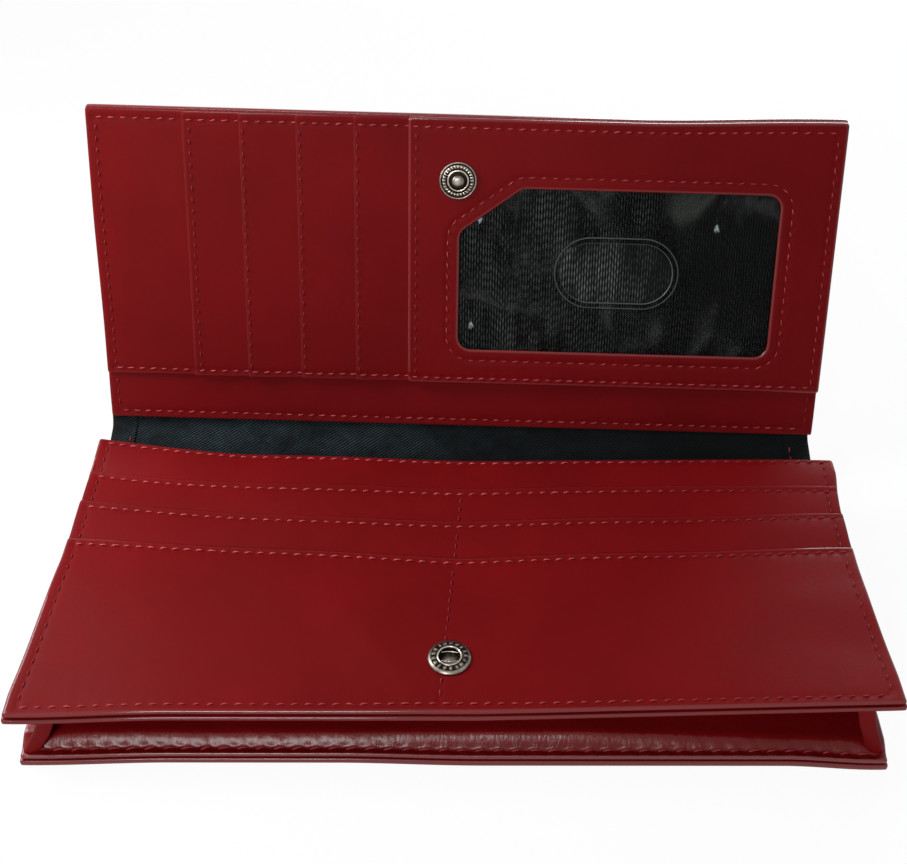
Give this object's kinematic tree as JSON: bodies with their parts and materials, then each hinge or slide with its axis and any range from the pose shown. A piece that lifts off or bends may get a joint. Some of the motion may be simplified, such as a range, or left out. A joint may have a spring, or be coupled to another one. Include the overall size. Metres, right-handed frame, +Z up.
{
  "type": "long bifold wallet",
  "caption": "Long bifold wallet standing half open, with a raised card block over a bill pocket, lapped card slots, a clear card window and a snap fastener.",
  "frame": {"origin": "under the middle of the half-open wallet's bounding box, on the surface that it stands on", "axes": "+X along the wallet to the right as it is read, +Y from the front edge to the spine and lid, +Z up"},
  "size_m": [0.19, 0.134, 0.088],
  "materials": {
    "glossy_red_leather": "smooth, glossy",
    "smooth_red_leather": "smooth, satin",
    "black_twill": "woven twill",
    "black_mesh_lining": "fine open weave",
    "stiffener_board": "matt",
    "clear_vinyl": "clear, glossy",
    "antique_nickel": "antique nickel plate"
  },
  "bodies": {
    "base": {"base_outer_leather": "glossy_red_leather", "base_board": "stiffener_board", "base_front_facing": "glossy_red_leather", "bill_pocket_lining": "black_twill", "gusset_left": "glossy_red_leather", "gusset_right": "glossy_red_leather"},
    "spine": {"spine_outer_leather": "glossy_red_leather", "spine_lining": "black_twill", "spine_hem_left": "black_twill", "spine_hem_right": "black_twill"},
    "lid": {"lid_outer_leather": "glossy_red_leather", "lid_board": "stiffener_board", "lid_strip_panel": "smooth_red_leather", "lid_left_panel": "smooth_red_leather", "lid_card_pocket_1": "smooth_red_leather", "lid_card_pocket_2": "smooth_red_leather", "lid_card_pocket_3": "smooth_red_leather", "lid_card_pocket_4": "smooth_red_leather", "window_panel": "smooth_red_leather", "window_vinyl": "clear_vinyl", "window_backing": "black_mesh_lining", "stud_ring": "antique_nickel", "stud_post": "antique_nickel"},
    "card_block": {"block_under_panel": "glossy_red_leather", "block_board": "stiffener_board", "block_back_panel": "smooth_red_leather", "block_card_pocket_1": "smooth_red_leather", "block_card_pocket_2": "smooth_red_leather", "block_front_panel": "smooth_red_leather", "socket_ring": "antique_nickel", "socket_spring": "antique_nickel", "socket_rivet": "antique_nickel"}
  },
  "joints": [
    {"name": "spine_fold", "type": "hinge", "parent": "base", "child": "spine", "pos_m": [0, 0.01749, 0.0011], "axis": [1, 0, 0], "range_deg": [-16, 74]},
    {"name": "lid_fold", "type": "hinge", "parent": "spine", "child": "lid", "pos_m": [0, 0.03727, 0.00677], "axis": [1, 0, 0], "range_deg": [-54.5, 33.8]},
    {"name": "block_press", "type": "hinge", "parent": "base", "child": "card_block", "pos_m": [0, 0.01579, 0.01463], "axis": [1, 0, 0], "range_deg": [0, 7], "deforming": ["gusset_left", "gusset_right"]}
  ]
}
